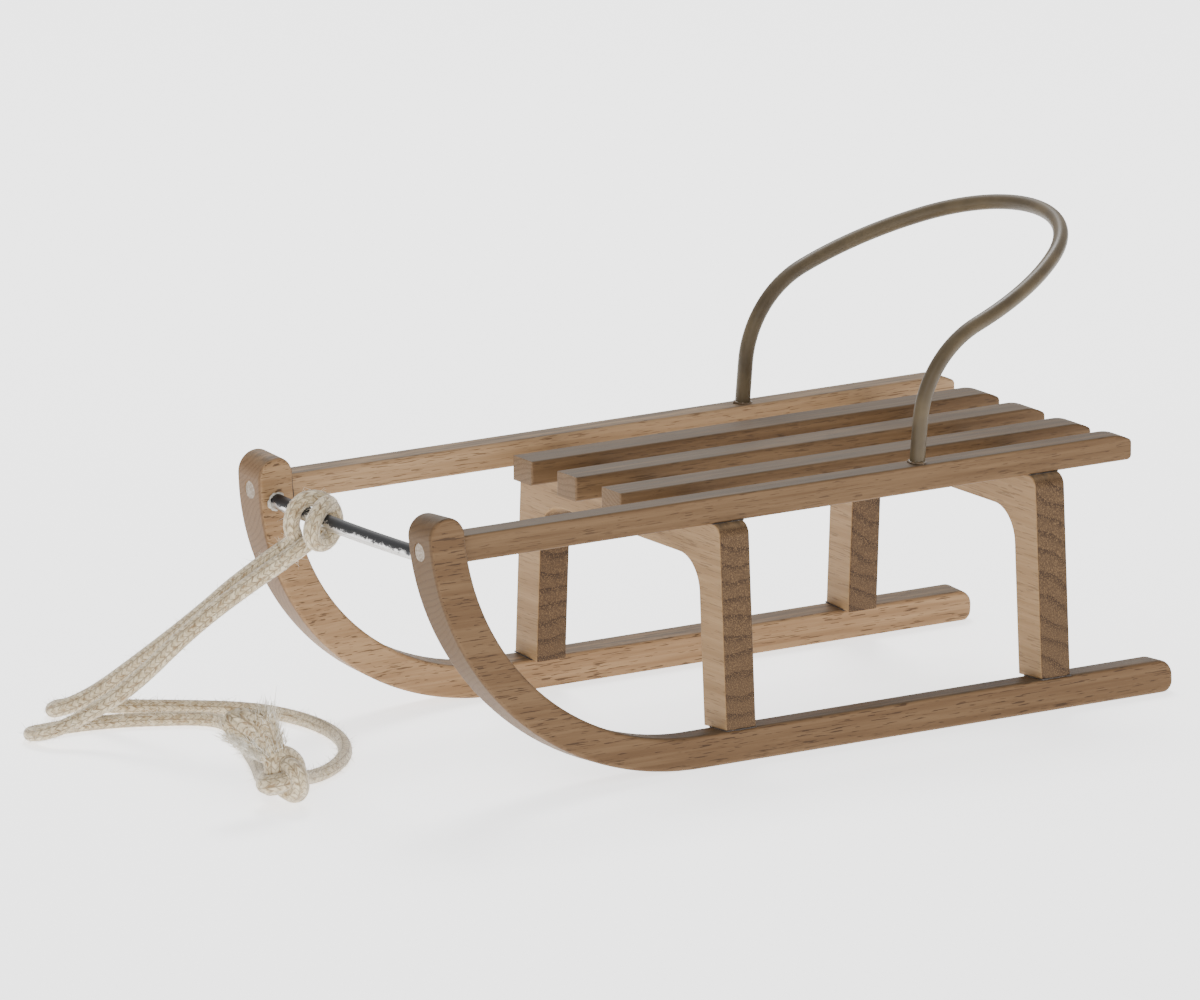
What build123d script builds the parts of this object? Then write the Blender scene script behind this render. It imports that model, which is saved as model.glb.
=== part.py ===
from build123d import *
from math import asin, cos, degrees, pi, radians, sin, tan

# Toy sledge, millimetres.
# +X is the direction of travel, +Y is the sledge's left side, +Z is up.
# The origin lies on the floor, midway between the tails and the noses of the runners.

# ---------------------------------------------------------------- driving dimensions

sledge_length = 169.4        # tail of the runners to their noses
track = 76.6                 # outside to outside of the runners, at the floor
lean = 3.5                   # degrees that each side of the sledge leans inwards

runner_height = 6.5          # flat part of a runner
runner_width = 6.2
bend_reach = 58.8            # how far the bend carries the runner forwards
upright_above_spring = 2.3   # the bend would stand upright this far above the crown's spring
horn_depth = 7.9             # thickness of the bend where it stands upright
horn_width = 8.6             # the runner widens towards its horn
horn_above_rail = 0.45       # the crown of the horn springs this far above its rail
crown_rise = 4.0
crown_corner_round = 2.0
tail_top_round = 3.2
tail_sole_round = 2.2
runner_edge_round = 0.7

seat_base = 46.5             # underside of the seat bars, top of the trestles
trestle_thickness = 6.8
front_trestle_x = 16.2
trestle_spacing = 73.3
leg_width = 8.1
beam_depth = 7.8
arch_round = 7.0
shoulder_round = 2.6
trestle_edge_round = 0.35

rail_width = 5.2             # the two outer bars, which run on to the horns
rail_height = 5.25
slat_width = 7.0             # the three inner bars
slat_height = 4.85
rail_inset = 0.26            # rail's centre line, inwards from the middle of its horn
seat_rear_overhang = 17.5    # bars' ends behind the rear face of the rear trestle
slat_front_overhang = 12.1   # inner bars' ends ahead of the front face of the front trestle
end_ease_length = 4.7        # long soft rounding on top of the bars' rear ends
end_ease_drop = 1.4
end_corner_round = 1.0
bar_edge_round = 0.45

pin_diameter = 3.5           # dowel through each horn into the end of its rail
pin_depth = 9.0              # how far the dowel reaches into the rail
glue_gap = 0.05              # round every glued rod and dowel

hoop_rod = 3.0
hoop_foot_ahead = 48.8       # hoop's feet, ahead of the rear ends of the bars
hoop_seat_depth = 4.0
hoop_leg_rise = 8.0          # straight foot of the hoop above its rail
hoop_leg_slope = 85.0        # degrees above the horizontal
hoop_bow_slope = 21.5
hoop_bend_radius = 21.0
hoop_bow_length = 37.0       # along the slope, from the bends to the far end of the bow
hoop_shoulder_turn = 35.0    # degrees turned by the flat arc at each side of the bow

pull_bar_rod = 3.0
pull_bar_drop = 2.0          # below the centre line of the rails
pull_bar_setback = 4.1       # behind the noses of the runners
pull_bar_bow = 1.2           # forward bow at its middle

cord_diameter = 2.8
cord_clearance = 0.3         # between the cord's hitch and the pull bar
hitch_width = 16.0           # the hitch's loops, side by side along the pull bar
hitch_diameter = 9.6
hitch_y = -12.5              # middle of the hitch, on the right of the centre line
neck_diameter = 6.6          # where the hitch gathers both strands
knot_diameter = 11.6
strand_gap = 0.4             # between the two strands where they leave the hitch
collar_wall = 0.2            # of the knot's short collars around the strands
tuft_length = 8.0            # frayed ends of the cord, above the knot
tuft_width = 13.0
tuft_thickness = 5.2
tuft_root_diameter = 5.6

# ---------------------------------------------------------------- worked-out values

half_length = sledge_length / 2
half_track = track / 2
lean_sin = sin(radians(lean))
lean_cos = cos(radians(lean))

rail_top = seat_base + rail_height
rail_axis_z = seat_base + rail_height / 2
rail_y = half_track - rail_axis_z * tan(radians(lean)) - horn_width / 2 - rail_inset
# The clear gaps between all five bars are alike.
bar_gap = (rail_y - rail_width / 2 - 1.5 * slat_width) / 2
slat_pitch = slat_width + bar_gap

horn_spring = rail_top + horn_above_rail
crown_height = horn_spring + crown_rise
bend_rise = horn_spring + upright_above_spring

rear_trestle_x = front_trestle_x - trestle_spacing
bars_rear_x = rear_trestle_x - trestle_thickness / 2 - seat_rear_overhang
slats_front_x = front_trestle_x + trestle_thickness / 2 + slat_front_overhang

spring_angle = degrees(asin((horn_spring - bend_rise) / bend_rise))
bend_x = half_length - bend_reach * cos(radians(spring_angle))
inner_reach = bend_reach - horn_depth
inner_rise = bend_rise - runner_height
inner_spring_angle = degrees(asin((horn_spring - bend_rise) / inner_rise))
crown_x = half_length - horn_depth * 0.45

pull_bar_x = half_length - pull_bar_setback
pull_bar_height = rail_axis_z - pull_bar_drop
pull_bar_end_y = rail_y - pin_diameter / 2 - 5 * glue_gap
hoop_foot_x = bars_rear_x + hoop_foot_ahead
pin_end_x = half_length - 0.35
pin_start_x = half_length - horn_depth - pin_depth

# A side of the sledge is drawn in a leaning plane: x forwards, y up the lean, and the
# third direction goes inwards from the outer face.  The plan plane is square to it.
left_side = Plane(origin=(0, half_track, 0), x_dir=(1, 0, 0), z_dir=(0, -lean_cos, -lean_sin))
left_plan = Plane(origin=(0, half_track, 0), x_dir=(1, 0, 0), z_dir=(0, -lean_sin, lean_cos))


def cross_plane(x):
    """Upright plane across the sledge at x, with its own x to the left and y up."""
    return Plane(origin=(x, 0, 0), x_dir=(0, 1, 0), z_dir=(1, 0, 0))


def save(builder, name):
    """Label a finished piece and write it."""
    builder.part.label = name
    export_step(builder.part, f"parts/{name}.step")


# ---------------------------------------------------------------- pull bar

# The bar bows slightly forwards.  It ends inside the horns, just short of their dowels.
with BuildPart() as pull_bar:
    with BuildLine() as bar_line:
        ThreePointArc(
            (pull_bar_x, pull_bar_end_y, pull_bar_height),
            (pull_bar_x + pull_bar_bow, 0, pull_bar_height),
            (pull_bar_x, -pull_bar_end_y, pull_bar_height),
        )
    with BuildSketch(Plane(origin=bar_line.line @ 0, z_dir=bar_line.line % 0)):
        Circle(pull_bar_rod / 2)
    sweep(path=bar_line.line)
save(pull_bar, "pull_bar")

# ---------------------------------------------------------------- runners

# The runner without its bores: a flat foot and a horn, between two ellipses that share
# one centre.  The plan gives the taper of its inner face, and the sole is planed level.
with BuildPart() as runner_blank:
    with BuildSketch(left_side) as side_view:
        with BuildLine():
            sole = Line((bend_x, 0), (-half_length, 0))
            tail = Line(sole @ 1, (-half_length, runner_height))
            deck = Line(tail @ 1, (bend_x, runner_height))
            inside = EllipticalCenterArc(
                (bend_x, bend_rise), inner_reach, inner_rise, -90, arc_size=90 + inner_spring_angle
            )
            outside = EllipticalCenterArc(
                (bend_x, bend_rise), bend_reach, bend_rise, -90, arc_size=90 + spring_angle
            )
            crown = ThreePointArc(inside @ 1, (crown_x, crown_height), outside @ 1)
        make_face()
        tail_corners = side_view.vertices().group_by(Axis.X)[0].sort_by(Axis.Y)
        fillet(tail_corners[1], tail_top_round)
        low_corner = side_view.vertices().group_by(Axis.X)[0].sort_by(Axis.Y)[0]
        fillet(low_corner, tail_sole_round)
        horn_corners = side_view.vertices().filter_by(lambda v: v.Y > horn_spring - 1)
        fillet(horn_corners, crown_corner_round)
    extrude(amount=horn_width + 1)
    with BuildSketch(left_plan):
        with BuildLine():
            outer_line = Line((half_length + 1, 1), (-half_length - 1, 1))
            rear_line = Line(outer_line @ 1, (-half_length - 1, -runner_width))
            flat_line = Line(rear_line @ 1, (bend_x, -runner_width))
            flare = TangentArc(flat_line @ 1, (half_length + 1, -horn_width), tangent=flat_line % 1)
            Line(flare @ 1, outer_line @ 0)
        make_face()
    extrude(amount=crown_height + 5, both=True, mode=Mode.INTERSECT)
    inward = Vector(0, -lean_cos, -lean_sin)
    outer_face = runner_blank.faces().sort_by(Axis((0, 0, 0), inward))[0]
    inner_faces = runner_blank.faces().filter_by(lambda face: face.normal_at(None).dot(inward) > 0.9)
    inner_rim = [edge for edge in inner_faces.edges() if abs((edge % 0.5).Y) < 0.5]
    fillet(outer_face.edges() + inner_rim, runner_edge_round)
    split(bisect_by=Plane.XY, keep=Keep.TOP)

with BuildPart() as runner_left:
    add(runner_blank.part)
    with BuildSketch(Plane(origin=bar_line.line @ 0, z_dir=bar_line.line % 0)):
        Circle(pull_bar_rod / 2 + glue_gap)
    sweep(path=bar_line.line, mode=Mode.SUBTRACT)
    with BuildSketch(cross_plane(half_length - 2 * horn_depth)):
        with Locations((rail_y, rail_axis_z)):
            Circle(pin_diameter / 2 + glue_gap)
    extrude(amount=3 * horn_depth, mode=Mode.SUBTRACT)
save(runner_left, "runner_left")

with BuildPart() as runner_right:
    mirror(runner_left.part, about=Plane.XZ)
save(runner_right, "runner_right")

# ---------------------------------------------------------------- trestles


def up_lean(height, inset):
    """Place across the sledge (y, z) from a height up the lean and an inset from the outer face."""
    return (
        half_track - height * lean_sin - inset * lean_cos,
        height * lean_cos - inset * lean_sin,
    )


def mirrored(point):
    return (-point[0], point[1])


foot_outer = up_lean(runner_height, 0)
foot_inner = up_lean(runner_height, leg_width)
shoulder = (half_track - seat_base * tan(radians(lean)), seat_base)
beam_under = seat_base - beam_depth
arch_corner = (foot_inner[0] - (beam_under - foot_inner[1]) * tan(radians(lean)), beam_under)
left_outline = [arch_corner, foot_inner, foot_outer, shoulder]
trestle_outline = left_outline + [mirrored(point) for point in reversed(left_outline)]

# Each trestle is a one-piece arch: a beam and two splayed legs whose feet sit square on
# the runners.
for trestle_name, trestle_x in (("front_trestle", front_trestle_x), ("rear_trestle", rear_trestle_x)):
    with BuildPart() as trestle:
        with BuildSketch(cross_plane(trestle_x - trestle_thickness / 2)) as trestle_front:
            Polygon(*trestle_outline, align=None)
            top_corners = trestle_front.vertices().group_by(Axis.Y)[-1]
            fillet(top_corners, shoulder_round)
            arch_corners = trestle_front.vertices().filter_by(
                lambda vertex: abs(vertex.Y - beam_under) < 0.01
            )
            fillet(arch_corners, arch_round)
        extrude(amount=trestle_thickness)
        broad_faces = trestle.faces().group_by(Axis.X)
        fillet(broad_faces[0].edges() + broad_faces[-1].edges(), trestle_edge_round)
    save(trestle, trestle_name)

# ---------------------------------------------------------------- seat bars

rail_front_x = half_length - horn_depth * 0.75
bar_sizes = {
    "rail": (rail_y, rail_width, rail_height, rail_front_x),
    "seat_slat_left": (slat_pitch, slat_width, slat_height, slats_front_x),
    "seat_slat_middle": (0.0, slat_width, slat_height, slats_front_x),
    "seat_slat_right": (-slat_pitch, slat_width, slat_height, slats_front_x),
}
for bar_name, (bar_y, bar_width, bar_height, bar_front_x) in bar_sizes.items():
    with BuildPart() as bar:
        side_of_bar = Plane(origin=(0, bar_y + bar_width / 2, 0), x_dir=(1, 0, 0), z_dir=(0, -1, 0))
        with BuildSketch(side_of_bar) as bar_side:
            with BuildLine():
                top = Line(
                    (bar_front_x, seat_base + bar_height),
                    (bars_rear_x + end_ease_length, seat_base + bar_height),
                )
                ease = TangentArc(
                    top @ 1,
                    (bars_rear_x, seat_base + bar_height - end_ease_drop),
                    tangent=top % 1,
                )
                end = Line(ease @ 1, (bars_rear_x, seat_base))
                under = Line(end @ 1, (bar_front_x, seat_base))
                Line(under @ 1, top @ 0)
            make_face()
            fillet(bar_side.vertices().group_by(Axis.X)[0], end_corner_round)
        extrude(amount=bar_width)
        sides = bar.faces().group_by(Axis.Y)
        fillet(sides[0].edges() + sides[-1].edges(), bar_edge_round)
    if bar_name == "rail":
        rail_blank = bar.part
    else:
        save(bar, bar_name)

# ---------------------------------------------------------------- hoop

half_bow = rail_y
flat_sin = sin(radians(hoop_shoulder_turn))
flat_cos = cos(radians(hoop_shoulder_turn))
# The bow is a three-centred arch: the two radii follow from its half width and length.
side_radius = (hoop_bow_length - half_bow * (1 - flat_sin) / flat_cos) / (
    flat_sin - (1 - flat_cos) * (1 - flat_sin) / flat_cos
)
end_radius = (half_bow - side_radius * (1 - flat_cos)) / flat_cos

leg_plane = Plane(origin=(hoop_foot_x, half_bow, rail_top), x_dir=(-1, 0, 0), z_dir=(0, 1, 0))
leg_direction = (cos(radians(hoop_leg_slope)), sin(radians(hoop_leg_slope)))
foot_end = (-leg_direction[0] * hoop_seat_depth, -leg_direction[1] * hoop_seat_depth)
leg_end = (leg_direction[0] * hoop_leg_rise, leg_direction[1] * hoop_leg_rise)

with BuildLine(leg_plane) as hoop_leg:
    straight_leg = Line(foot_end, leg_end)
    JernArc(straight_leg @ 1, straight_leg % 1, hoop_bend_radius, hoop_bow_slope - hoop_leg_slope)

bow_start = hoop_leg.line @ 1
bow_plane = Plane(
    origin=(bow_start.X, 0, bow_start.Z),
    x_dir=(-cos(radians(hoop_bow_slope)), 0, sin(radians(hoop_bow_slope))),
    z_dir=(-sin(radians(hoop_bow_slope)), 0, -cos(radians(hoop_bow_slope))),
)
with BuildLine(bow_plane) as hoop_bow:
    left_side_arc = JernArc((0, half_bow), (1, 0), side_radius, -hoop_shoulder_turn)
    end_arc = JernArc(left_side_arc @ 1, left_side_arc % 1, end_radius, -2 * (90 - hoop_shoulder_turn))
    JernArc(end_arc @ 1, end_arc % 1, side_radius, -hoop_shoulder_turn)

with BuildPart() as back_hoop:
    with BuildLine() as hoop_path:
        add(hoop_leg.line)
        add(hoop_bow.line)
        mirror(hoop_leg.line, about=Plane.XZ)
    with BuildSketch(Plane(origin=hoop_leg.line @ 0, z_dir=hoop_leg.line % 0)):
        Circle(hoop_rod / 2)
    sweep(path=hoop_path.wire())
save(back_hoop, "back_hoop")

# ---------------------------------------------------------------- rails with their bores

with BuildPart() as seat_rail_left:
    add(rail_blank)
    add(runner_blank.part, mode=Mode.SUBTRACT)
    with BuildSketch(cross_plane(pin_start_x)):
        with Locations((rail_y, rail_axis_z)):
            Circle(pin_diameter / 2 + glue_gap)
    extrude(amount=half_length - pin_start_x, mode=Mode.SUBTRACT)
    with BuildSketch(Plane(origin=hoop_leg.line @ 0, z_dir=hoop_leg.line % 0)):
        Circle(hoop_rod / 2 + glue_gap)
    extrude(amount=hoop_seat_depth + 1, mode=Mode.SUBTRACT)
save(seat_rail_left, "seat_rail_left")

with BuildPart() as seat_rail_right:
    mirror(seat_rail_left.part, about=Plane.XZ)
save(seat_rail_right, "seat_rail_right")

with BuildPart() as horn_pin_left:
    with BuildSketch(cross_plane(pin_start_x)):
        with Locations((rail_y, rail_axis_z)):
            Circle(pin_diameter / 2)
    extrude(amount=pin_end_x - pin_start_x)
save(horn_pin_left, "horn_pin_left")

with BuildPart() as horn_pin_right:
    mirror(horn_pin_left.part, about=Plane.XZ)
save(horn_pin_right, "horn_pin_right")

# ---------------------------------------------------------------- pull cord

floor_z = cord_diameter / 2
cord_way = Vector(0.46, -0.66, -0.595).normalized()
strand_offset = Vector(-0.718, -1.2, 0.776).normalized() * (cord_diameter + strand_gap) / 2
neck_end = Vector(pull_bar_x + 3.9, hitch_y - 5.9, pull_bar_height - 8.4)
bar_foot = Vector(pull_bar_x, 0, 0)
knot_centre = bar_foot + Vector(26.4, 18, knot_diameter / 2)


def strand_radii(points):
    """Bend radius at each turn, from the shorter neighbouring run."""
    radii = []
    for before, here, after in zip(points, points[1:], points[2:]):
        run_in = here - before
        run_out = after - here
        half_turn = radians(run_in.get_angle(run_out)) / 2
        radii.append(0.45 * min(run_in.length, run_out.length) / tan(half_turn))
    return radii


# Each strand leaves the hitch straight, then runs through places on and above the floor,
# given from the foot of a plumb line under the pull bar.
long_strand_places = [
    (12.8, -34.9, 24.6),
    (19.6, -47.4, 13.2),
    (25, -57.2, 4.8),
    (29.8, -64.2, floor_z),
    (24.8, -68.2, floor_z),
    (18, -62.0, floor_z),
    (4.9, -52.9, floor_z),
    (-5, -44.2, floor_z),
    (-9, -32.0, floor_z),
    (-8, -18.0, floor_z),
    (-2.2, -5.4, floor_z),
    (6.4, 3.6, floor_z),
    (14.4, 7.6, floor_z),
    (20.6, 12.8, 3.6),
]
short_strand_places = [
    (17.9, -30.6, 23.2),
    (26.8, -37.6, 11.6),
    (34.8, -42.5, 5.6),
    (41.6, -44.4, 3.0),
    (42.7, -51.8, floor_z),
    (35.6, -52.6, floor_z),
    (26.4, -52.2, floor_z),
    (16.4, -48.8, floor_z),
    (5, -42.2, floor_z),
    (6.7, -32.0, floor_z),
    (11.7, -20.5, floor_z),
    (18.2, -5.0, floor_z),
    (22.8, 3.6, floor_z),
    (25.2, 10.6, 3.6),
]

strand_ends = []
for strand_name, strand_start, strand_places in (
    ("cord_strand_long", neck_end + strand_offset, long_strand_places),
    ("cord_strand_short", neck_end - strand_offset, short_strand_places),
):
    strand_points = [strand_start, strand_start + cord_way * 11]
    strand_points += [bar_foot + Vector(place) for place in strand_places]
    radii = strand_radii(strand_points)
    with BuildPart() as strand:
        with BuildLine() as strand_line:
            FilletPolyline(*strand_points, radius=radii)
        with BuildSketch(Plane(origin=strand_line.line @ 0, z_dir=strand_line.line % 0)):
            Circle(cord_diameter / 2)
        sweep()
    save(strand, strand_name)
    strand_ends.append((strand_line.line @ 1, strand_line.line % 1))
    strand_length = strand_line.wire().length
    tube_volume = pi * cord_diameter**2 / 4 * strand_length
    print(strand_name, "length", round(strand_length, 1))
    print("  radii", [round(radius, 1) for radius in radii])
    print("  volume", round(strand.part.volume, 1), "section x length", round(tube_volume, 1))

hitch_end = (pull_bar_x, hitch_y + hitch_width / 2, pull_bar_height)

with BuildPart() as cord_hitch:
    with BuildSketch(Plane(origin=hitch_end, z_dir=(0, -1, 0))):
        Circle(hitch_diameter / 2)
    extrude(amount=hitch_width)
    fillet(cord_hitch.edges().filter_by(GeomType.CIRCLE), hitch_diameter / 6)
    with BuildSketch(Plane(origin=neck_end - cord_way * 9, z_dir=cord_way)):
        Circle(neck_diameter / 2)
    extrude(amount=9)
    with BuildSketch(Plane(origin=bar_line.line @ 0, z_dir=bar_line.line % 0)):
        Circle(pull_bar_rod / 2 + cord_clearance)
    sweep(path=bar_line.line, mode=Mode.SUBTRACT)
save(cord_hitch, "cord_hitch")

tuft_way = Vector(6.5, -1, 13).normalized()
tuft_root = knot_centre + tuft_way * (knot_diameter / 2 + 1)
tuft_plane = Plane(origin=tuft_root, x_dir=(13, 0, -6.5), z_dir=tuft_way)

with BuildPart() as cord_knot:
    with Locations(knot_centre):
        Sphere(knot_diameter / 2)
    for strand_end, strand_way in strand_ends:
        with BuildSketch(Plane(origin=strand_end, z_dir=strand_way)):
            Circle(cord_diameter / 2 + collar_wall)
        extrude(amount=knot_diameter / 2)
    with BuildSketch(tuft_plane):
        Circle(tuft_root_diameter / 2)
    extrude(amount=-knot_diameter / 4)
save(cord_knot, "cord_knot")

with BuildPart() as frayed_ends:
    with BuildSketch(tuft_plane):
        Circle(tuft_root_diameter / 2)
    with BuildSketch(tuft_plane.offset(tuft_length)):
        Ellipse(tuft_width / 2, tuft_thickness / 2)
    loft()
save(frayed_ends, "frayed_ends")
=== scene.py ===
# %% [markdown]
# # A doll-size wooden sledge
# The rigid parts of the sledge come ready made, in metres, and are never moved. What is left to do here is
# what a finishing shop does: give the beech its grain, the wire its bare steel, the hoop its coat of paint,
# and lay a soft knitted cord in front. Everything is measured in metres; `mm` turns millimetres into them.

# %% Load the frame
import bpy
import numpy as np
from mathutils import Matrix, Vector


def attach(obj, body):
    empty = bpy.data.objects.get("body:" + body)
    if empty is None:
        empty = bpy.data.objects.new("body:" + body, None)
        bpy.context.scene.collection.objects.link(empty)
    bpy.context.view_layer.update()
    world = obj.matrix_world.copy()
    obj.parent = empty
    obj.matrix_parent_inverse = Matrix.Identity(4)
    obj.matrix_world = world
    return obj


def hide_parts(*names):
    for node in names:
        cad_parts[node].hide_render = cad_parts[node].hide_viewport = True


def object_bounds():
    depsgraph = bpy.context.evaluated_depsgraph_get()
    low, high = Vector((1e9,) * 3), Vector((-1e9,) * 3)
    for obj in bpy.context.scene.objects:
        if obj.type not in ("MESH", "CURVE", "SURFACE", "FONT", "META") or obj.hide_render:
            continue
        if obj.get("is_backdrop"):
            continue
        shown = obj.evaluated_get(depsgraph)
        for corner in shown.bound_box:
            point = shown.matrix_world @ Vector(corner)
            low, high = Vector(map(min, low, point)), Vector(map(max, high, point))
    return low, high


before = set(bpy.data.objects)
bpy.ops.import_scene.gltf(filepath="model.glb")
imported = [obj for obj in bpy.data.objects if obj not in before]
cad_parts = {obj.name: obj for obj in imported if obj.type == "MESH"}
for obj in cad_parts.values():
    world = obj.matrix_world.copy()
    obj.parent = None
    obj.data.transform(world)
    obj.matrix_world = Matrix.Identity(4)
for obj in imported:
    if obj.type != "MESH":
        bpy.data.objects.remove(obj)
cad_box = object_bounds()
mm = 0.001
print("nodes:", len(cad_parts), "box:", [[round(v, 4) for v in corner] for corner in cad_box])

# %% [markdown]
# ## Camera
# A small object seen from afar through a long lens shows hardly any perspective, which keeps the two
# runners nearly parallel on screen. The camera looks from the front left, a little above the seat.
# It could be dragged into place by hand; working it out from a bearing, a height angle and a distance, then
# sliding it a little across the view, gives the same view every time.

# %% Camera
bearing = np.radians(147.25)
elevation = np.radians(13.478)
roll = np.radians(-0.196)
toward = np.array(
    [np.sin(bearing) * np.cos(elevation), -np.cos(bearing) * np.cos(elevation), np.sin(elevation)]
)
level_right = np.array([np.cos(bearing), np.sin(bearing), 0.0])
level_up = np.cross(toward, level_right)
camera_right = np.cos(roll) * level_right + np.sin(roll) * level_up
camera_up = -np.sin(roll) * level_right + np.cos(roll) * level_up
aim = np.array([-10.16, 0.0, 26.73]) * mm
distance, slide_right, slide_up = 2893.3 * mm, -28.76 * mm, 13.55 * mm
station = aim + distance * toward + slide_right * camera_right + slide_up * camera_up
camera_data = bpy.data.cameras.new("camera")
camera_data.sensor_width = 36.0
camera_data.lens = 445.6
camera_data.clip_end = 20.0
camera = bpy.data.objects.new("camera", camera_data)
bpy.context.scene.collection.objects.link(camera)
camera_axes = np.eye(4)
camera_axes[:3, 0] = camera_right
camera_axes[:3, 1] = camera_up
camera_axes[:3, 2] = toward
camera_axes[:3, 3] = station
camera.matrix_world = Matrix(camera_axes.tolist())
bpy.context.scene.camera = camera
print("camera stands", round(float(np.linalg.norm(station - aim)), 2), "m away")

# %% [markdown]
# ## Helpers for new pieces
# Every new piece is a grid of points worked out by a formula and joined by quads. `grid_mesh` turns such a
# grid into a mesh; `carry_tube` carries a round section along a path, with frames that turn as little as
# possible from one ring to the next, so that a pattern on the tube doesn't twist.

# %% Grid and tube helpers


def grid_mesh(name, points, ends_meet=False):
    """Mesh from an array (rings, around, 3): quads between neighbouring rings, and a face over each end.

    Where the ends meet, the last ring joins the first one instead. Faces point outwards when the section's
    first direction crossed with its second one gives the direction of the path.
    """
    rings, around, _ = points.shape
    total = rings * around
    ring = np.arange(rings if ends_meet else rings - 1)[:, None] * around
    step = np.arange(around)[None, :]
    following = (step + 1) % around
    ahead = (ring + around) % total
    quads = np.stack([ring + step, ring + following, ahead + following, ahead + step], axis=-1)
    faces = quads.reshape(-1, 4).tolist()
    if not ends_meet:
        faces.append(list(range(around - 1, -1, -1)))
        faces.append(list(range(total - around, total)))
    mesh = bpy.data.meshes.new(name)
    mesh.from_pydata(points.reshape(-1, 3).tolist(), [], faces)
    mesh.validate()
    mesh.shade_smooth()
    return mesh


def add_piece(name, mesh, material=None):
    """Object at the origin, riding on the sledge's one body."""
    piece = bpy.data.objects.new(name, mesh)
    bpy.context.scene.collection.objects.link(piece)
    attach(piece, "root")
    if material is not None:
        piece.data.materials.append(material)
    return piece


def path_frames(path):
    """Tangent, side and top vectors at each point: each side vector is the last one, made square again."""
    tangent = np.gradient(path, axis=0)
    tangent /= np.linalg.norm(tangent, axis=1)[:, None]
    side = np.zeros_like(path)
    start = np.cross(tangent[0], (0.0, 0.0, 1.0))
    side[0] = start / np.linalg.norm(start)
    for i in range(1, len(path)):
        turned = side[i - 1] - tangent[i] * np.dot(side[i - 1], tangent[i])
        side[i] = turned / np.linalg.norm(turned)
    return tangent, side, np.cross(tangent, side)


def carry_tube(path, radius, around=20):
    """Rings of a tube: centre + radius * (cos a * side + sin a * top)."""
    _, side, top = path_frames(path)
    angle = np.linspace(0.0, 2 * np.pi, around, endpoint=False)[None, :, None]
    spread = np.cos(angle) * side[:, None, :] + np.sin(angle) * top[:, None, :]
    return path[:, None, :] + np.asarray(radius, dtype=float).reshape(-1, 1, 1) * spread


# %% [markdown]
# ## Node helpers
# A procedural material is a small circuit. These helpers keep each circuit readable: `wire` makes a node,
# sets its plain values and joins its inputs in one line, and `effect_group` opens a reusable group with
# named inputs and outputs.

# %% Node helpers


def feed(tree, node, values):
    """Join each input, by name or number, to a socket, or set it to a plain value."""
    for key, value in values.items():
        if isinstance(value, bpy.types.NodeSocket):
            tree.links.new(value, node.inputs[key])
        else:
            node.inputs[key].default_value = value


def wire(tree, kind, values=None, **settings):
    """Node of a kind; settings are its own properties, values fill or feed its inputs by name or number."""
    node = tree.nodes.new(kind)
    for name, value in settings.items():
        setattr(node, name, value)
    feed(tree, node, values or {})
    return node


def effect_group(name, inputs, outputs):
    """Node group with its sockets; inputs and outputs are {socket name: (type, default)}."""
    group = bpy.data.node_groups.new(name, "ShaderNodeTree")
    for direction, sockets in (("INPUT", inputs), ("OUTPUT", outputs)):
        for socket_name, (kind, default) in sockets.items():
            socket = group.interface.new_socket(name=socket_name, in_out=direction, socket_type=kind)
            if default is not None:
                socket.default_value = default
    return group, group.nodes.new("NodeGroupInput").outputs, group.nodes.new("NodeGroupOutput").inputs


def number(tree, operation, first, second=0.0, third=0.0, clamp=False):
    """One step of arithmetic; returns its result socket."""
    values = {0: first, 1: second, 2: third}
    return wire(tree, "ShaderNodeMath", values, operation=operation, use_clamp=clamp).outputs[0]


def vector(tree, operation, first, second=(0.0, 0.0, 0.0)):
    """One step of vector arithmetic; returns its vector result."""
    return wire(tree, "ShaderNodeVectorMath", {0: first, 1: second}, operation=operation).outputs[0]


def ramp(tree, value, low, high, start=0.0, end=1.0):
    """Smooth step of a value from low to high onto start to end."""
    values = {0: value, 1: low, 2: high, 3: start, 4: end}
    return wire(tree, "ShaderNodeMapRange", values, interpolation_type="SMOOTHSTEP").outputs[0]


def noise(tree, place, scale=1.0, detail=3.0, roughness=0.5):
    """Noise value from 0 to 1 at a place."""
    values = {"Vector": place, "Scale": scale, "Detail": detail, "Roughness": roughness}
    return wire(tree, "ShaderNodeTexNoise", values).outputs[0]


def blend_colour(tree, factor, first, second, mode="MIX"):
    """Mix two colours by a factor."""
    node = wire(tree, "ShaderNodeMix", {0: factor, 6: first, 7: second}, data_type="RGBA", blend_type=mode)
    return node.outputs[2]


def rgba(red, green, blue):
    """A colour with full alpha."""
    return (red, green, blue, 1.0)


def roughen(tree, shader, height, strength, depth):
    """Relief: a Bump node from a height, at its strongest `depth` deep, feeding the shader's normal."""
    bump = wire(tree, "ShaderNodeBump", {"Height": height, "Strength": strength, "Distance": depth})
    tree.links.new(bump.outputs[0], shader.inputs["Normal"])


def surface(name):
    """New material with one Principled shader; returns the material, its tree and the shader."""
    material = bpy.data.materials.new(name)
    material.use_nodes = True
    tree = material.node_tree
    shader = next(node for node in tree.nodes if node.type == "BSDF_PRINCIPLED")
    return material, tree, shader


# %% [markdown]
# ## Beech
# The sledge is sawn from beech boards. Beech has faint growth rings, long pale and dark streaks along the
# fibres and, its mark, thousands of short dark ray flecks. Seen at the end of a board the same rings show as
# dark arcs in a browner, thirstier surface. The group takes places with the fibres along X, and whether the
# surface looks along the fibres, and gives colour, height and roughness.

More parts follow.
